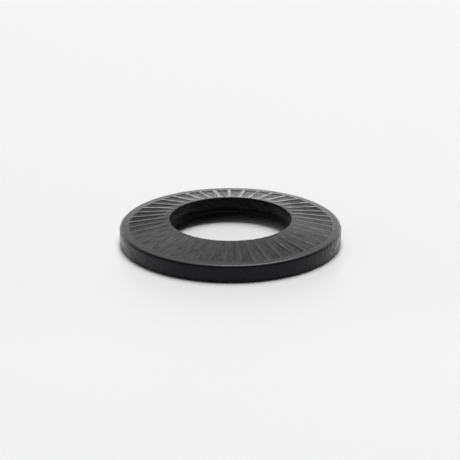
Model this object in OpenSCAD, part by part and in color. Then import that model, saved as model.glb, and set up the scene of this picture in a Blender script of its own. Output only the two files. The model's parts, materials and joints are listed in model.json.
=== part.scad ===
// Serrated conical spring washer: a coned ring of spring steel, blanked and pressed in one piece.
// Its raised face has a ring of radial ribs, which stand between pressed pockets.
// It lies ribs up, on the narrow flat under its outer edge, with its axis along +Z.

/* [Ring] */
// Outside diameter
outer_d = 24; // [20:0.5:32]
// Diameter of the bore that the bolt passes through
bore_d = 13.2; // [8:0.1:14]
// Thickness of the sheet, square to the coned faces
sheet_t = 1.95; // [1.4:0.05:3]
// Angle of the coned faces from flat
cone_angle = 10.4; // [4:0.1:15]
// Angle, from flat, of the flatter band along the outer edge
band_angle = 5; // [0:0.5:10]
// Width of that band
band_w = 0.85; // [0.5:0.05:0.9]
// How far the outer wall leans in over its height, towards the underside
wall_set_in = 0.05; // [0:0.01:0.3]
// Width of the flat under the outer edge, which the washer rests on
seat_w = 0.35; // [0.2:0.05:0.8]

/* [Edges] */
// Rounding of the outer edge, ribbed side
outer_top_round = 0.3; // [0.1:0.05:0.5]
// Rounding of the outer edge, underside
outer_bottom_round = 0.15; // [0.05:0.05:0.4]
// Rounding of the bore's edge, ribbed side
bore_top_round = 0.05; // [0.05:0.05:0.4]
// Rounding of the bore's edge, underside
bore_bottom_round = 0.2; // [0.05:0.05:0.4]

/* [Ribs] */
// Number of ribs round the ring
rib_count = 43; // [24:1:48]
// Width of a rib along its top
rib_w = 0.3; // [0.2:0.02:0.5]
// Angle by which a rib's sides flare towards its foot
rib_draft = 60; // [0:1:65]
// Smooth band between the pockets and the outside diameter
outer_band = 0.95; // [0.6:0.05:1.4]
// Smooth band between the pockets and the bore
inner_band = 0.5; // [0.4:0.05:1.2]
// Depth of the pockets at their outer end
pocket_depth_outer = 0.1; // [0.05:0.01:0.2]
// Depth of the pockets at their inner end
pocket_depth_inner = 0.04; // [0.03:0.01:0.15]

/* [Hidden] */
$fn = 96;

// How far a cutting shape reaches past the surface that it cuts
clear = 0.2;
// How far a rib's flared sides run on below the floor of the pockets
rib_root = 0.03;

outer_r = outer_d / 2;
bore_r = bore_d / 2;
pocket_outer_r = outer_r - outer_band;
pocket_inner_r = bore_r + inner_band;
rib_pitch = 360 / rib_count;

// Points of the section are [distance from the axis, height]. The coned faces share one normal.
face_normal = [sin(cone_angle), cos(cone_angle)];
band_normal = [sin(band_angle), cos(band_angle)];
outer_bottom = [outer_r - wall_set_in - outer_bottom_round, outer_bottom_round];
seat_inner = [outer_bottom[0] - seat_w, 0];

// The point, at a distance from the axis, of the line that runs beside a slope, so far above it
function beside(x, slope_start, slope_normal, above) =
    [x, slope_start[1] + (above - slope_normal[0] * (x - slope_start[0])) / slope_normal[1]];

// The same, beside the coned underside
function point_at(x, above_underside) = beside(x, seat_inner, face_normal, above_underside);

band_start = point_at(outer_r - band_w, sheet_t);
outer_top = beside(outer_r - outer_top_round, band_start, band_normal, -outer_top_round);
bore_top = point_at(bore_r + bore_top_round, sheet_t - bore_top_round);
bore_bottom = point_at(bore_r + bore_bottom_round, bore_bottom_round);

// The outer wall is the line that touches both of its roundings
wall_run = outer_top - outer_bottom;
wall_lean = atan2(wall_run[0], wall_run[1]) - asin((outer_bottom_round - outer_top_round) / norm(wall_run));
wall_normal = [cos(wall_lean), -sin(wall_lean)];

// Section of the ring without its pockets: a coned sheet with a flatter band along its outer edge,
// four rounded edges and a flat to rest on
module ring_section() {
    polygon([
        outer_bottom + outer_bottom_round * wall_normal,
        outer_top + outer_top_round * wall_normal,
        outer_top + outer_top_round * band_normal,
        band_start,
        bore_top + bore_top_round * face_normal,
        bore_top - [bore_top_round, 0],
        bore_bottom - [bore_bottom_round, 0],
        bore_bottom - bore_bottom_round * face_normal,
        seat_inner,
        [outer_bottom[0], 0],
    ]);
    translate(outer_bottom) circle(outer_bottom_round);
    translate(outer_top) circle(outer_top_round);
    translate(bore_top) circle(bore_top_round);
    translate(bore_bottom) circle(bore_bottom_round);
}

// Section of the channel that the pockets lie in, deepest at its outer end
module channel_section() {
    polygon([
        point_at(pocket_inner_r, sheet_t - pocket_depth_inner),
        point_at(pocket_outer_r, sheet_t - pocket_depth_outer),
        point_at(pocket_outer_r, sheet_t + clear),
        point_at(pocket_inner_r, sheet_t + clear),
    ]);
}

// One rib, straight and of one width, along the coned face from end to end of the channel
module rib() {
    foot_depth = max(pocket_depth_outer, pocket_depth_inner) + rib_root;
    top_half = rib_w / 2;
    foot_half = top_half + foot_depth * tan(rib_draft);
    start = point_at(pocket_inner_r - clear, sheet_t);
    run = (pocket_outer_r - pocket_inner_r + 2 * clear) / face_normal[1];
    translate([start[0], 0, start[1]])
        rotate([0, cone_angle, 0])
            rotate([90, 0, 90])
                linear_extrude(run)
                    polygon([
                        [-foot_half, -foot_depth - clear],
                        [foot_half, -foot_depth - clear],
                        [foot_half, -foot_depth],
                        [top_half, 0],
                        [top_half, 2 * clear],
                        [-top_half, 2 * clear],
                        [-top_half, 0],
                        [-foot_half, -foot_depth],
                    ]);
}

// The pockets: what is left of the channel between the ribs
module pockets() {
    difference() {
        rotate_extrude() channel_section();
        for (k = [0 : rib_count - 1])
            rotate(k * rib_pitch) rib();
    }
}

module washer() {
    color("#2c2c2e")
        difference() {
            rotate_extrude() ring_section();
            pockets();
        }
}

washer();
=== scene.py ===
"""Looks of the serrated conical spring washer: its dressed ring, materials, floor, light and camera."""
import json
import math
import random
from collections import namedtuple

import bpy
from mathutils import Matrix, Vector, noise


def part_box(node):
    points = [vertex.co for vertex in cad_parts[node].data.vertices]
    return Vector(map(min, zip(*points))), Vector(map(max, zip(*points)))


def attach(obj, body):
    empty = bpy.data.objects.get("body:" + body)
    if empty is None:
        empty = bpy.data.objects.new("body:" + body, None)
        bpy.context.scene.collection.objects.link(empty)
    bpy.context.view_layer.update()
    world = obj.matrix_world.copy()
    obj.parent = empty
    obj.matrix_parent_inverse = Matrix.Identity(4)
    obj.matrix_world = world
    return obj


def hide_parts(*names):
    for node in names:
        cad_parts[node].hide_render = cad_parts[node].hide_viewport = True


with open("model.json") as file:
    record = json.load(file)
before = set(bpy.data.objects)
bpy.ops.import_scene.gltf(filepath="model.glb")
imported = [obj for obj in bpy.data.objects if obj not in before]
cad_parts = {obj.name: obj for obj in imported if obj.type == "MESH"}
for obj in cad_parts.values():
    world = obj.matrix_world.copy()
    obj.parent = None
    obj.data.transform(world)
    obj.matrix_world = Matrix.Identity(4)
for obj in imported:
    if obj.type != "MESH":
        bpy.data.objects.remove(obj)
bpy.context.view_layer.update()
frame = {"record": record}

bpy.context.scene.view_settings.view_transform = "Standard"

# Sizes of the ring's section, in millimetres: the solid's, with a flatter band and softer upper edges
MM = 0.001
NODE = "washer"
box_low, box_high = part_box(NODE)
mounts = {mount["name"]: mount for mount in frame["record"]["mounts"]}
OUTER_R = min(box_high.x, box_high.y, -box_low.x, -box_low.y) / MM
BORE_R = mounts["bore"]["dims"]["r_mm"]
SHEET_T = 1.95
CONE = math.radians(10.4)
BAND = math.radians(3.5)
BAND_W = 0.9
WALL_SET_IN = 0.05
SEAT_W = 0.35
OUTER_TOP_ROUND = 0.35
OUTER_BOTTOM_ROUND = 0.15
BORE_TOP_ROUND = 0.07
BORE_BOTTOM_ROUND = 0.2

FACE_N = Vector((math.sin(CONE), math.cos(CONE)))
BAND_N = Vector((math.sin(BAND), math.cos(BAND)))
BAND_R = OUTER_R - BAND_W
SEAT_OUTER = OUTER_R - WALL_SET_IN - OUTER_BOTTOM_ROUND
SEAT_INNER = SEAT_OUTER - SEAT_W

# The punched bore: a sheared zone above, and below it a torn zone that is set back and ends in a lip
SHEAR_Z = 1.86
SHEAR_EDGE = 0.03
TORN_HIGH = 1.8
TORN_LOW = 1.25
TORN_BACK = 0.05
TORN_ROUGH = 0.02
TORN_GRAIN = 3
LIP_Z = 1.17

# The border between those zones wanders in long and short waves round the bore, and dips on the far side
SHEAR_SWAY = 0.12
LONG_WAVES = 2.2
SHORT_WAVES = 11
SHORT_SHARE = 0.6
SWAY_SEED = 5
SHEAR_DIP = 0.2
DIP_SHARPNESS = 6

# Ribs and pockets of the raised face
RIB_COUNT = 43
PITCH = 2 * math.pi / RIB_COUNT
RIB_W = 0.32
RIB_DRAFT = math.radians(50)
RIB_EDGE = 0.06
FOOT_EDGE = 0.06
OUTER_BAND = 0.95
INNER_BAND = 0.4
POCKET_OUTER_R = OUTER_R - OUTER_BAND
POCKET_INNER_R = BORE_R + INNER_BAND
DEPTH_OUTER = 0.1
DEPTH_INNER = 0.04
RAMP = 2.2

# A pocket's two ends rise over these lengths, and the rise starts a little outside the pocket
OUTER_RISE = 0.15
INNER_RISE = 0.5
RISE_MARGIN = 0.04

# Uneven pressing: ribs that widen towards the bore, wavy sides, and pockets that are shallow on the right
SEED = 43
RIB_WIDEN = 0.07
WIDEN_REACH = 2
SIDE_UNEVEN = 0.05
SIDE_WAVES = 1.3
RIB_SEED = 7.3
SIDE_SEED = 3.1
WIDTH_SPREAD = 0.2
DEPTH_SPREAD = 0.12
WORN = 0.012
SHALLOW_AT = math.radians(-14)
SHALLOW_SPAN = math.radians(24)
SHALLOW_SHARE = 0.5

# The pockets' rough finish: less of it towards the bore, where it also covers the ribs' tops
INNER_ROUGH = 0.7
INNER_REACH = 2.4
CREST_ROUGH = 0.7
CREST_REACH = 1.6
COVERED_SHARE = 0.3
PRESSED_POWER = 0.1
POCKET_FROM = 0.1

# Rows of the mesh along each stretch of the section. The rim is the upper half of the outer edge's rounding,
# whose brighter coat is a painted highlight
LOWER_ROUND_ROWS = 6
TORN_ROWS = 6
SHEAR_ROWS = 4
BORE_ROUND_ROWS = 8
INNER_BAND_ROWS = 3
POCKET_ROWS = 22
POCKET_END_ROWS = 7
BAND_ROWS = 4
EDGE_ROWS = 10
RIM_ROWS = 5
WALL_ROWS = 8
UNDER_ROWS = 6

# Columns of the mesh across half a pitch: on the rib's top, down its side, and on the pocket's floor
TOP_STEPS = (0.0, 0.6)
SIDE_STEPS = (0.0, 0.17, 0.33, 0.5, 0.67, 0.83, 1.0)
FLOOR_STEPS = (0.35, 0.7)

# A row of the mesh: its place in the section, whether it is torn, and how far the bore's border moves it
Row = namedtuple("Row", "point normal zone torn sway", defaults=(0, 0))

# Zones of the surface, in the order of their coats
FACE, WALL, BORE, EDGE, SHEAR, POCKET, UNDER = range(7)


def beside(x, start, normal, above):
    """Point of the section on the line that runs beside a slope, so far above it."""
    return Vector((x, start.y + (above - normal.x * (x - start.x)) / normal.y))


def on_face(x, above):
    """The same, beside the coned underside."""
    return beside(x, Vector((SEAT_INNER, 0)), FACE_N, above)


def smooth(low, high, x):
    """0 below low, 1 above high, and a smooth rise between them."""
    t = min(1.0, max(0.0, (x - low) / (high - low)))
    return t * t * (3 - 2 * t)


def spread(low, high, count):
    """Evenly spaced numbers from low to high, both of them included."""
    return [low + (high - low) * i / count for i in range(count + 1)]


def arc(centre, radius, start, end, count):
    """Points and normals of an arc of the section, from one direction to another, in degrees."""
    rows = []
    for angle in spread(math.radians(start), math.radians(end), count):
        normal = Vector((math.cos(angle), math.sin(angle)))
        rows.append((centre + radius * normal, normal))
    return rows


def line(start, end, normal, count):
    """Points inside a straight stretch of the section, without its two ends."""
    return [(start.lerp(end, i / count), normal) for i in range(1, count)]


def bore_rows(high):
    """The bore's wall below its upper rounding: the lip, the torn zone and the sheared zone."""
    inward = Vector((-1, 0))
    rows = [Row(Vector((BORE_R, LIP_Z)), inward, UNDER)]
    for z in spread(TORN_LOW, TORN_HIGH, TORN_ROWS):
        sway = (z - TORN_LOW) / (TORN_HIGH - TORN_LOW)
        rows.append(Row(Vector((BORE_R + TORN_BACK, z)), inward, BORE, 1, sway))
    for z in [SHEAR_Z] + spread(SHEAR_Z + SHEAR_EDGE, high, SHEAR_ROWS)[:-1]:
        rows.append(Row(Vector((BORE_R, z)), inward, SHEAR, 0, (high - z) / (high - SHEAR_Z)))
    return rows


def ring_section():
    """The ring's section as rows, once round, from the bore's lower edge upwards."""
    band_start = on_face(BAND_R, SHEET_T)
    outer_top = beside(OUTER_R - OUTER_TOP_ROUND, band_start, BAND_N, -OUTER_TOP_ROUND)
    outer_bottom = Vector((SEAT_OUTER, OUTER_BOTTOM_ROUND))
    bore_top = on_face(BORE_R + BORE_TOP_ROUND, SHEET_T - BORE_TOP_ROUND)
    bore_bottom = on_face(BORE_R + BORE_BOTTOM_ROUND, BORE_BOTTOM_ROUND)
    seat_inner = Vector((SEAT_INNER, 0))
    run = outer_top - outer_bottom
    lean = math.atan2(run.x, run.y) - math.asin((OUTER_BOTTOM_ROUND - OUTER_TOP_ROUND) / run.length)
    face_angle = 90 - math.degrees(CONE)
    band_angle = 90 - math.degrees(BAND)
    wall_angle = -math.degrees(lean)

    bottom_arc = arc(bore_bottom, BORE_BOTTOM_ROUND, face_angle + 180, 180, LOWER_ROUND_ROWS)
    top_arc = arc(bore_top, BORE_TOP_ROUND, 180, face_angle, BORE_ROUND_ROWS)
    edge_arc = arc(outer_top, OUTER_TOP_ROUND, band_angle, wall_angle, EDGE_ROWS)
    foot_arc = arc(outer_bottom, OUTER_BOTTOM_ROUND, wall_angle, -90, LOWER_ROUND_ROWS)
    wall = line(edge_arc[-1][0], foot_arc[0][0], foot_arc[0][1], WALL_ROWS)
    underside = line(seat_inner, bottom_arc[0][0], -FACE_N, UNDER_ROWS)
    band_points = [band_start.lerp(edge_arc[0][0], i / BAND_ROWS) for i in range(BAND_ROWS)]

    ribbed_start = POCKET_INNER_R - RISE_MARGIN
    end_start = POCKET_OUTER_R - OUTER_RISE
    radii = spread(top_arc[-1][0].x, ribbed_start, INNER_BAND_ROWS)[1:]
    radii += spread(ribbed_start, end_start, POCKET_ROWS)[1:]
    radii += spread(end_start, POCKET_OUTER_R + RISE_MARGIN, POCKET_END_ROWS)[1:]

    rows = [Row(p, n, BORE) for p, n in bottom_arc]
    rows += bore_rows(top_arc[0][0].y)
    rows += [Row(p, n, SHEAR if i == 0 else FACE) for i, (p, n) in enumerate(top_arc)]
    rows += [Row(on_face(r, SHEET_T), FACE_N, FACE) for r in radii]
    rows += [Row(p, BAND_N, FACE) for p in band_points]
    rows += [Row(p, n, EDGE) for p, n in edge_arc[:RIM_ROWS]]
    rows += [Row(p, n, WALL) for p, n in edge_arc[RIM_ROWS:] + wall + foot_arc]
    rows += [Row(seat_inner, -FACE_N, UNDER)]
    rows += [Row(p, n, UNDER) for p, n in underside]
    return rows


rng = random.Random(SEED)


class Rib:
    """One rib's own width and wear, and the depth of the pocket that follows it."""

    def __init__(self, angle):
        self.width = RIB_W * (1 + WIDTH_SPREAD * rng.uniform(-1, 1))
        self.worn = WORN * rng.random()
        off = math.remainder(angle - SHALLOW_AT, 2 * math.pi) / SHALLOW_SPAN
        self.pressed = 1 - SHALLOW_SHARE * math.exp(-off * off)
        self.depth = self.pressed * (1 + DEPTH_SPREAD * rng.uniform(-1, 1))


ribs = [Rib(k * PITCH) for k in range(RIB_COUNT)]


def floor_depth(r):
    """Depth of a pocket's floor below the coned face: a ramp that flattens towards its outer end."""
    left = min(1.0, max(0.0, (POCKET_OUTER_R - r) / (POCKET_OUTER_R - POCKET_INNER_R)))
    return DEPTH_INNER + (DEPTH_OUTER - DEPTH_INNER) * (1 - left ** RAMP)


def half_columns(rib, r, seed):
    """Distances of the mesh's columns from the middle of a rib, and where its side starts and ends."""
    half = rib.width / 2 + SIDE_UNEVEN * noise.noise(Vector((seed, SIDE_WAVES * r, 0)))
    half += RIB_WIDEN * (1 - smooth(POCKET_INNER_R, POCKET_INNER_R + WIDEN_REACH, r))
    start = half - RIB_EDGE
    end = half + floor_depth(r) * math.tan(RIB_DRAFT) + FOOT_EDGE
    middle = PITCH * r / 2
    columns = [start * t for t in TOP_STEPS]
    columns += [start + (end - start) * t for t in SIDE_STEPS]
    columns += [end + (middle - end) * t for t in FLOOR_STEPS]
    return columns, start, end


def ring_columns(r):
    """Every column round the ring at a radius: its angle, share of the full depth, pocket and rib."""
    r = min(POCKET_OUTER_R, max(POCKET_INNER_R, r))
    columns = []
    for k, rib in enumerate(ribs):
        offsets, start, end = half_columns(rib, r, RIB_SEED * k)
        before = [(k * PITCH - s / r, smooth(start, end, s), k - 1, k) for s in reversed(offsets[1:])]
        offsets, start, end = half_columns(rib, r, RIB_SEED * k + SIDE_SEED)
        after = [(k * PITCH + s / r, smooth(start, end, s), k, k) for s in offsets]
        columns += before + after + [((k + 0.5) * PITCH, 1.0, k, k)]
    return columns


def outer_end(r):
    """1 inside the pockets' outer ends, 0 outside them, and a smooth rise between."""
    return smooth(-RISE_MARGIN, OUTER_RISE, POCKET_OUTER_R - r)


def inner_end(r):
    """The same for the pockets' inner ends."""
    return smooth(-RISE_MARGIN, INNER_RISE, r - POCKET_INNER_R)


def coverage(share, r):
    """How fully the rough finish covers a place: most in the pockets, and on ribs only by the bore."""
    pocket = smooth(0.0, COVERED_SHARE, share * outer_end(r))
    crest = CREST_ROUGH * (1 - smooth(BORE_R, BORE_R + CREST_REACH, r))
    outward = smooth(POCKET_INNER_R, POCKET_INNER_R + INNER_REACH, r)
    return max(pocket, crest) * (INNER_ROUGH + (1 - INNER_ROUGH) * outward)


def bore_place(row, angle):
    """A row's point at an angle, with the wandering border and the torn zone's roughness in the bore."""
    place = row.point.copy()
    about = Vector((math.cos(angle), math.sin(angle), SWAY_SEED))
    sway = noise.noise(LONG_WAVES * about) + SHORT_SHARE * noise.noise(SHORT_WAVES * about)
    dip = SHEAR_DIP * ((1 + math.sin(angle)) / 2) ** DIP_SHARPNESS
    place.y += row.sway * (SHEAR_SWAY * sway - dip)
    around = Vector((place.x * math.cos(angle), place.x * math.sin(angle), place.y))
    place.x += row.torn * TORN_ROUGH * noise.noise(TORN_GRAIN * around)
    return place


def ribbed_place(row, share, pocket, rib):
    """A row's point on the ribbed face, sunk into its pocket or worn down with its rib."""
    r = row.point.x
    sunk = share * (inner_end(r) * outer_end(r)) * pocket.depth * floor_depth(r)
    return row.point - (sunk + (1 - share) * rib.worn) * row.normal


def make_mesh(name):
    """The ring as one closed mesh, whose columns follow the sides of the ribs."""
    rows = ring_section()
    points, faces, zones, covered = [], [], [], []
    for row in rows:
        r = row.point.x
        ribbed = row.zone == FACE and r < BAND_R + RISE_MARGIN
        for angle, share, pocket, rib in ring_columns(r):
            if ribbed:
                place = ribbed_place(row, share, ribs[pocket], ribs[rib])
                covered.append(coverage(share, r) * ribs[pocket].pressed ** PRESSED_POWER)
            else:
                place = bore_place(row, angle)
                covered.append(0.0)
            points.append((place.x * MM * math.cos(angle), place.x * MM * math.sin(angle), place.y * MM))
    width = len(points) // len(rows)
    for i, row in enumerate(rows):
        here = i * width
        above = (i + 1) % len(rows) * width
        for j in range(width):
            k = (j + 1) % width
            faces.append((here + j, above + j, above + k, here + k))
            in_pocket = min(covered[here + j], covered[here + k]) > POCKET_FROM
            zones.append(POCKET if in_pocket else row.zone)
    mesh = bpy.data.meshes.new(name)
    mesh.from_pydata(points, [], faces)
    mesh.polygons.foreach_set("material_index", zones)
    mesh.polygons.foreach_set("use_smooth", [True] * len(faces))
    layer = mesh.attributes.new("covered", "FLOAT", "POINT")
    layer.data.foreach_set("value", covered)
    mesh.validate()
    mesh.update()
    return mesh


class Nodes:
    """Short calls to add and join the nodes of one material or of the world."""

    def __init__(self, owner):
        owner.use_nodes = True
        self.tree = owner.node_tree

    def add(self, kind, **settings):
        node = self.tree.nodes.new(kind)
        for key, value in settings.items():
            setattr(node, key, value)
        return node

    def join(self, source, target):
        self.tree.links.new(source, target)

    def put(self, value, socket):
        """Set a socket to a number, or join another node's output to it."""
        if isinstance(value, (int, float)):
            socket.default_value = value
        else:
            self.join(value, socket)

    def math(self, operation, a, b):
        node = self.add("ShaderNodeMath", operation=operation)
        self.put(a, node.inputs[0])
        self.put(b, node.inputs[1])
        return node.outputs[0]

    def plus(self, a, b):
        return self.math("ADD", a, b)

    def times(self, a, b):
        return self.math("MULTIPLY", a, b)

    def blend(self, share, a, b):
        node = self.add("ShaderNodeMix")
        self.put(share, node.inputs["Factor"])
        self.put(a, node.inputs["A"])
        self.put(b, node.inputs["B"])
        return node.outputs["Result"]

    def noise(self, vector, scale, detail, rough):
        node = self.add("ShaderNodeTexNoise")
        node.inputs["Scale"].default_value = scale
        node.inputs["Detail"].default_value = detail
        node.inputs["Roughness"].default_value = rough
        self.join(vector, node.inputs["Vector"])
        return node.outputs["Fac"]

    def ramp(self, value, span, levels, kind="LINEAR"):
        """Turn a span of a value into a span of levels, held beyond both ends."""
        node = self.add("ShaderNodeMapRange", interpolation_type=kind)
        for key, number in zip(("From Min", "From Max", "To Min", "To Max"), (*span, *levels)):
            node.inputs[key].default_value = number
        self.join(value, node.inputs["Value"])
        return node.outputs["Result"]

    def ease(self, value, span, levels):
        """The same, with a smooth start and end."""
        return self.ramp(value, span, levels, "SMOOTHSTEP")

    def vector(self, operation, vector, other):
        node = self.add("ShaderNodeVectorMath", operation=operation)
        self.join(vector, node.inputs[0])
        self.join(other, node.inputs[1])
        return node.outputs[0]

    def scaled(self, vector, scale):
        node = self.add("ShaderNodeVectorMath", operation="SCALE")
        node.inputs["Scale"].default_value = scale
        self.join(vector, node.inputs[0])
        return node.outputs[0]

    def millimetres(self):
        """Place on the object, in millimetres."""
        return self.scaled(self.add("ShaderNodeTexCoord").outputs["Object"], 1 / MM)

    def flat(self, place):
        """The part of a place that lies across the axis."""
        node = self.add("ShaderNodeVectorMath", operation="MULTIPLY")
        node.inputs[1].default_value = (1, 1, 0)
        self.join(place, node.inputs[0])
        return node.outputs[0]

    def distance(self, place):
        """Distance of a place from the axis."""
        node = self.add("ShaderNodeVectorMath", operation="LENGTH")
        self.join(self.flat(place), node.inputs[0])
        return node.outputs["Value"]

    def radial(self, place, round_scale, along_scale):
        """Place that changes fast round the ring and slowly along a radius, without a seam."""
        unit = self.add("ShaderNodeVectorMath", operation="NORMALIZE")
        self.join(self.flat(place), unit.inputs[0])
        along = self.add("ShaderNodeCombineXYZ")
        self.join(self.times(self.distance(place), along_scale), along.inputs["Z"])
        return self.vector("ADD", self.scaled(unit.outputs[0], round_scale), along.outputs[0])


# Materials: a thin black oxide coat on steel, with heights of its grain and marks in millimetres
COAT_IOR = 1.5
# Painted highlight: the rim's coat reflects more strongly than the rest, to brighten the lamp's reflection
# on it
PAINTED_HIGHLIGHT_IOR = 1.65
GRAIN_H = 0.0015
MARK_H = 0.01
SCORE_H = 0.007
POCKET_ROUGHER = 0.34
POCKET_SHADE = 0.015
NOISE_SPAN = (0.3, 0.7)
MARK_SPAN = (0.36, 0.64)
NO_MARK = 0.5
PATCH_SPAN = (0.55, 0.7)
SCORE_SPAN = (0.6, 0.68)
MARKS_FADE = (POCKET_OUTER_R - 0.1, POCKET_OUTER_R + 0.15)

# A coat's colour, shine and roughness, what is uneven in them, and whether it has the ribbed face's marks
Coat = namedtuple(
    "Coat", "name shade tint roughness mottled uneven blue worn ior ribbed drawn",
    defaults=(0.0, 1.0, 0.0, COAT_IOR, False, 0.0))
face_coat = Coat("black_face", shade=0.021, tint=1.0, roughness=0.22, mottled=0.03, ribbed=True)
COATS = (
    face_coat,
    Coat("black_wall", shade=0.0065, tint=0.36, roughness=0.3, mottled=0.16, uneven=0.05, blue=1.14),
    # The bore's torn zone and lower rounding: their own matt black, darkened further to near black as
    # painted shade
    Coat("black_bore", shade=0.0015, tint=0.05, roughness=0.6, mottled=0.1),
    # The rim's coat: real worn patches, and a stronger shine that is a painted highlight
    Coat("black_edge", shade=0.012, tint=1.0, roughness=0.36, mottled=0.06,
         blue=1.05, worn=0.03, ior=PAINTED_HIGHLIGHT_IOR),
    Coat("black_shear", shade=0.003, tint=0.2, roughness=0.38, mottled=0.2, uneven=0.2),
    face_coat._replace(name="black_pocket", drawn=0.7),
    Coat("black_under", shade=0.01, tint=0.6, roughness=0.32, mottled=0.1),
)


def plain_finish(nodes, place, coat):
    """Level, roughness and height of a satin coat with fine grain, soft mottling and worn patches."""
    grain = nodes.noise(place, scale=9.0, detail=3.0, rough=0.6)
    mottle = nodes.noise(place, scale=1.3, detail=3.0, rough=0.6)
    rough = nodes.plus(nodes.ramp(mottle, NOISE_SPAN, (coat.mottled, -coat.mottled)), coat.roughness)
    height = nodes.plus(nodes.times(grain, GRAIN_H), nodes.times(mottle, coat.uneven))
    level = nodes.times(nodes.ramp(grain, NOISE_SPAN, (0.6, 1.4)), coat.shade)
    if coat.worn:
        patches = nodes.noise(place, scale=2.4, detail=3.0, rough=0.6)
        level = nodes.plus(level, nodes.ramp(patches, PATCH_SPAN, (0.0, coat.worn)))
    return level, rough, height


def ribbed_finish(nodes, place, coat, level, rough, height):
    """The same with drawing marks and dark scores along the radius, and with the rough pockets."""
    covered = nodes.add("ShaderNodeAttribute", attribute_name="covered").outputs["Fac"]
    inside = nodes.ramp(nodes.distance(place), MARKS_FADE, (1.0, 0.0))
    fine = nodes.radial(place, round_scale=44.0, along_scale=0.9)
    marks = nodes.blend(inside, NO_MARK, nodes.noise(fine, scale=1.0, detail=3.0, rough=0.7))
    long = nodes.radial(place, round_scale=42.0, along_scale=0.3)
    scores = nodes.ramp(nodes.noise(long, scale=1.0, detail=0.0, rough=0.5), SCORE_SPAN, (0.0, 1.0))
    scores = nodes.times(scores, inside)
    height = nodes.plus(height, nodes.times(marks, MARK_H))
    height = nodes.math("SUBTRACT", height, nodes.times(scores, SCORE_H))
    rough = nodes.plus(rough, nodes.ramp(marks, MARK_SPAN, (0.15, -0.15)))
    rough = nodes.plus(rough, nodes.times(covered, POCKET_ROUGHER))
    level = nodes.times(level, nodes.ramp(scores, (0.0, 1.0), (1.0, 0.2)))
    level = nodes.times(level, nodes.blend(covered, 1.0, POCKET_SHADE / coat.shade))
    level = nodes.times(level, nodes.ramp(marks, MARK_SPAN, (0.1, 1.9)))
    return level, rough, height


def black_coat(coat):
    """Material of one coat."""
    material = bpy.data.materials.new(coat.name)
    nodes = Nodes(material)
    place = nodes.millimetres()
    level, rough, height = plain_finish(nodes, place, coat)
    if coat.ribbed:
        level, rough, height = ribbed_finish(nodes, place, coat, level, rough, height)
    shader = nodes.tree.nodes["Principled BSDF"]
    shader.inputs["IOR"].default_value = coat.ior
    shader.inputs["Specular Tint"].default_value = (coat.tint, coat.tint, coat.tint * coat.blue, 1)
    if coat.drawn:
        shader.inputs["Anisotropic"].default_value = coat.drawn
        round_axis = nodes.add("ShaderNodeTangent", direction_type="RADIAL", axis="Z")
        nodes.join(round_axis.outputs[0], shader.inputs["Tangent"])
    nodes.join(rough, shader.inputs["Roughness"])
    colour = nodes.add("ShaderNodeCombineColor")
    nodes.join(level, colour.inputs["Red"])
    nodes.join(level, colour.inputs["Green"])
    nodes.join(nodes.times(level, coat.blue), colour.inputs["Blue"])
    nodes.join(colour.outputs[0], shader.inputs["Base Color"])
    bump = nodes.add("ShaderNodeBump")
    bump.inputs["Strength"].default_value = 1.0
    bump.inputs["Distance"].default_value = MM
    nodes.join(height, bump.inputs["Height"])
    nodes.join(bump.outputs["Normal"], shader.inputs["Normal"])
    return material


body = bpy.data.objects.new("washer_body", make_mesh("washer_body"))
bpy.context.collection.objects.link(body)
for coat in COATS:
    body.data.materials.append(black_coat(coat))
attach(body, "root")
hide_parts(NODE)

# Floor of satin paper: half its width in metres, and the millimetres over which painted light makes it paler
# in front
FLOOR_HALF = 1.5
PAPER_ROUGHNESS = 0.42
PAPER_IOR = 1.75
PAINTED_LIGHT_SPAN = (-35.0, -12.0)
PAPER_AND_PAINTED_LIGHT_LEVELS = (0.905, 0.87)


def paper():
    """Material of the floor, with painted light that makes it paler in front."""
    material = bpy.data.materials.new("paper")
    nodes = Nodes(material)
    place = nodes.add("ShaderNodeSeparateXYZ")
    nodes.join(nodes.millimetres(), place.inputs[0])
    shader = nodes.tree.nodes["Principled BSDF"]
    # Painted light: the paper turns paler towards the front, against the washer's broad shade there
    nodes.join(nodes.ease(place.outputs["Y"], PAINTED_LIGHT_SPAN, PAPER_AND_PAINTED_LIGHT_LEVELS), shader.inputs["Base Color"])
    shader.inputs["Roughness"].default_value = PAPER_ROUGHNESS
    shader.inputs["IOR"].default_value = PAPER_IOR
    return material


corners = [(x * FLOOR_HALF, y * FLOOR_HALF, 0) for x, y in ((-1, -1), (1, -1), (1, 1), (-1, 1))]
floor_mesh = bpy.data.meshes.new("floor")
floor_mesh.from_pydata(corners, [], [(0, 1, 2, 3)])
floor_mesh.materials.append(paper())
floor = bpy.data.objects.new("floor", floor_mesh)
bpy.context.collection.objects.link(floor)

# Light: a soft box overhead with a bright middle, in metres. Its shine comes from a little further right
BOX_H = 1.0
SHINE_RIGHT = 0.09
SHINE_GAIN = 1.05
Panel = namedtuple("Panel", "name left right near far radiance")
PANELS = (
    Panel("box_middle", left=-0.15, right=0.15, near=0.0, far=0.25, radiance=15.35),
    Panel("box", left=-0.2, right=0.35, near=0.0, far=0.65, radiance=6.0),
)


def soft_light(name, panel, moved_right=0.0, gain=1.0):
    """One panel of the soft box as a rectangle of light that points down."""
    light = bpy.data.lights.new(name, "AREA")
    light.shape = "RECTANGLE"
    light.size = panel.right - panel.left
    light.size_y = panel.far - panel.near
    light.energy = gain * panel.radiance * math.pi * light.size * light.size_y
    box = bpy.data.objects.new(name, light)
    box.location = ((panel.left + panel.right) / 2 + moved_right, (panel.near + panel.far) / 2, BOX_H)
    bpy.context.collection.objects.link(box)
    return box


for panel in PANELS:
    soft_light(panel.name, panel).visible_glossy = False
for panel in PANELS:
    soft_light(panel.name + "_shine", panel, SHINE_RIGHT, SHINE_GAIN).visible_diffuse = False

# Strength of the backdrop before it is shaped
BACKDROP_LEVEL = 1.08


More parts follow.
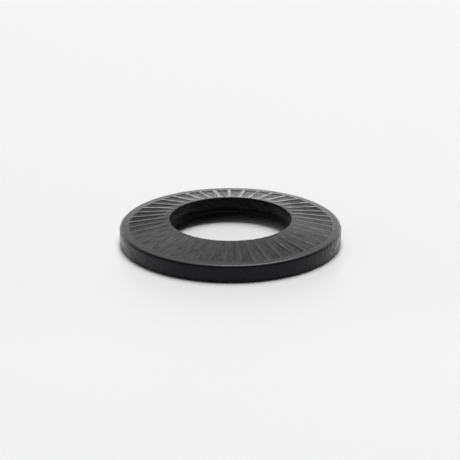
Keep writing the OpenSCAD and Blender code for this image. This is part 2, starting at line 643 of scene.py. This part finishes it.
def backdrop(sky, east, north, up):
    """What the coat mirrors: a pale backdrop, brightest low down on the far side and right of the middle."""
    boost = sky.ease(east, (-0.06, 0.07), (0.0, 0.45))
    boost = sky.times(boost, sky.ease(east, (0.1, 0.2), (1.0, 0.2)))
    boost = sky.times(boost, sky.ease(up, (0.25, 0.5), (1.0, 0.1)))
    height = sky.ease(up, (0.1, 0.46), (1.5, 0.4))
    height = sky.plus(height, sky.ease(up, (0.5, 0.68), (0.0, 0.35)))
    far = sky.ease(north, (-0.8, -0.3), (0.12, 0.18))
    far = sky.plus(far, sky.ease(north, (0.2, 0.8), (0.0, 0.82)))
    near = sky.ease(north, (-0.9, -0.5), (0.1, 0.0))
    near = sky.times(near, sky.ease(up, (0.2, 0.4), (1.0, 0.0)))
    return sky.times(sky.times(sky.plus(boost, BACKDROP_LEVEL), height), sky.plus(far, near))


def surroundings():
    """The world: white to the camera, the backdrop in reflections, and else a weak fill from the left."""
    world = bpy.data.worlds.new("surroundings")
    world.cycles.sampling_method = "NONE"
    sky = Nodes(world)
    towards = sky.add("ShaderNodeSeparateXYZ")
    sky.join(sky.add("ShaderNodeTexCoord").outputs["Generated"], towards.inputs[0])
    east, north, up = towards.outputs
    path = sky.add("ShaderNodeLightPath").outputs
    mirrored = sky.math("MAXIMUM", path["Is Glossy Ray"], path["Is Transmission Ray"])
    fill = sky.ease(east, (-0.6, 0.1), (0.34, 0.04))
    level = sky.blend(mirrored, fill, backdrop(sky, east, north, up))
    level = sky.blend(path["Is Camera Ray"], level, 1.0)
    background = sky.tree.nodes["Background"]
    background.inputs["Color"].default_value = (1, 1, 1, 1)
    sky.join(level, background.inputs["Strength"])
    return world


bpy.context.scene.world = surroundings()

# Camera at the photograph's viewing angle
ELEVATION = math.radians(20.84)
AZIMUTH = math.radians(-88.71)
DISTANCE = 1.2
IMAGE_W = 460
PIXELS_PER_MM = 9.2346
SEEN_WIDTH = IMAGE_W / PIXELS_PER_MM * MM
AIM_RIGHT = -0.0444 * MM
AIM_UP = 1.5596 * MM
CLIP_NEAR = 0.1
CLIP_FAR = 10

ground = Vector((math.cos(AZIMUTH), math.sin(AZIMUTH), 0))
right = Vector((-math.sin(AZIMUTH), math.cos(AZIMUTH), 0))
up = Vector((0, 0, 1))
away = math.cos(ELEVATION) * ground + math.sin(ELEVATION) * up
lens = bpy.data.cameras.new("camera")
lens.lens = lens.sensor_width * DISTANCE / SEEN_WIDTH
lens.clip_start = CLIP_NEAR
lens.clip_end = CLIP_FAR
camera = bpy.data.objects.new("camera", lens)
camera.location = AIM_RIGHT * right + AIM_UP * up + DISTANCE * away
camera.rotation_euler = away.to_track_quat("Z", "Y").to_euler()
bpy.context.collection.objects.link(camera)
bpy.context.scene.camera = camera
